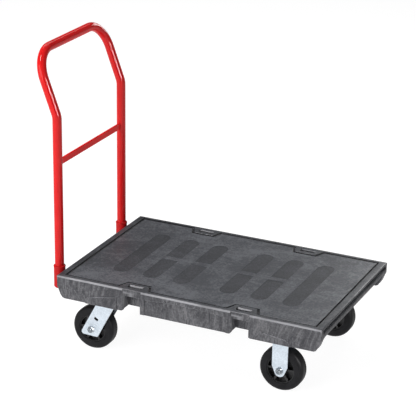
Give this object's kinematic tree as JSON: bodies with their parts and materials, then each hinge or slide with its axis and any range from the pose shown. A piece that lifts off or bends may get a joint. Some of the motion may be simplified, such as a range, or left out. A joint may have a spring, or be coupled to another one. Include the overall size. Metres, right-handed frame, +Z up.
{
  "type": "platform cart",
  "caption": "Flat moulded platform cart with a bent-tube push handle that lifts out of its sockets, tie-down slots, rigid casters in front and swivel casters under the handle end.",
  "frame": {"origin": "centre of the whole cart's bounding box in plan, on the floor under the wheels", "axes": "+X to the front, away from the handle; +Y to the cart's left side; +Z up"},
  "size_m": [1.0362, 0.59, 0.9817],
  "materials": {
    "deck_plastic": "moulded charcoal structural foam, satin and mottled",
    "red_paint": "semi-gloss red powder coat on steel",
    "zinc": "bright zinc plate on pressed steel",
    "steel": "plain ground steel",
    "tyre": "moulded black rubber",
    "wheel_core": "black moulded wheel centre"
  },
  "bodies": {
    "deck": {"deck_moulding": "deck_plastic", "socket_right": "red_paint", "socket_left": "red_paint", "socket_bracket_right": "red_paint", "socket_bracket_left": "red_paint", "socket_bracket_screws": "zinc", "caster_screws": "zinc", "rigid_right_frame": "zinc", "rigid_right_spanner": "steel", "rigid_right_axle": "zinc", "rigid_right_nut": "zinc", "rigid_left_frame": "zinc", "rigid_left_spanner": "steel", "rigid_left_axle": "zinc", "rigid_left_nut": "zinc", "swivel_right_plate": "zinc", "swivel_right_kingpin": "steel", "swivel_right_kingpin_nut": "zinc", "swivel_left_plate": "zinc", "swivel_left_kingpin": "steel", "swivel_left_kingpin_nut": "zinc"},
    "handle": {"handle_tube": "red_paint", "handle_crossbar": "red_paint"},
    "swivel_right": {"swivel_right_fork": "zinc", "swivel_right_spanner": "steel", "swivel_right_axle": "zinc", "swivel_right_nut": "zinc", "swivel_right_balls": "steel"},
    "swivel_left": {"swivel_left_fork": "zinc", "swivel_left_spanner": "steel", "swivel_left_axle": "zinc", "swivel_left_nut": "zinc", "swivel_left_balls": "steel"},
    "rigid_right_wheel": {"rigid_right_core": "wheel_core", "rigid_right_tyre": "tyre", "rigid_right_bearing": "steel"},
    "rigid_left_wheel": {"rigid_left_core": "wheel_core", "rigid_left_tyre": "tyre", "rigid_left_bearing": "steel"},
    "swivel_right_wheel": {"swivel_right_core": "wheel_core", "swivel_right_tyre": "tyre", "swivel_right_bearing": "steel"},
    "swivel_left_wheel": {"swivel_left_core": "wheel_core", "swivel_left_tyre": "tyre", "swivel_left_bearing": "steel"}
  },
  "joints": [
    {"name": "handle_lift", "type": "slide", "parent": "deck", "child": "handle", "axis": [0, 0, 1], "range_m": [0, 0.09]},
    {"name": "swivel_right", "type": "hinge", "parent": "deck", "child": "swivel_right", "pos_m": [-0.24586, -0.217, 0.183], "axis": [0, 0, 1], "continuous": true},
    {"name": "swivel_right_wheel_spin", "type": "hinge", "parent": "swivel_right", "child": "swivel_right_wheel", "pos_m": [-0.29586, -0.217, 0.073], "axis": [0, 1, 0], "continuous": true},
    {"name": "rigid_right_wheel_spin", "type": "hinge", "parent": "deck", "child": "rigid_right_wheel", "pos_m": [0.36664, -0.217, 0.073], "axis": [0, 1, 0], "continuous": true},
    {"name": "swivel_left", "type": "hinge", "parent": "deck", "child": "swivel_left", "pos_m": [-0.24586, 0.217, 0.183], "axis": [0, 0, 1], "continuous": true},
    {"name": "swivel_left_wheel_spin", "type": "hinge", "parent": "swivel_left", "child": "swivel_left_wheel", "pos_m": [-0.29586, 0.217, 0.073], "axis": [0, 1, 0], "continuous": true},
    {"name": "rigid_left_wheel_spin", "type": "hinge", "parent": "deck", "child": "rigid_left_wheel", "pos_m": [0.36664, 0.217, 0.073], "axis": [0, 1, 0], "continuous": true}
  ]
}
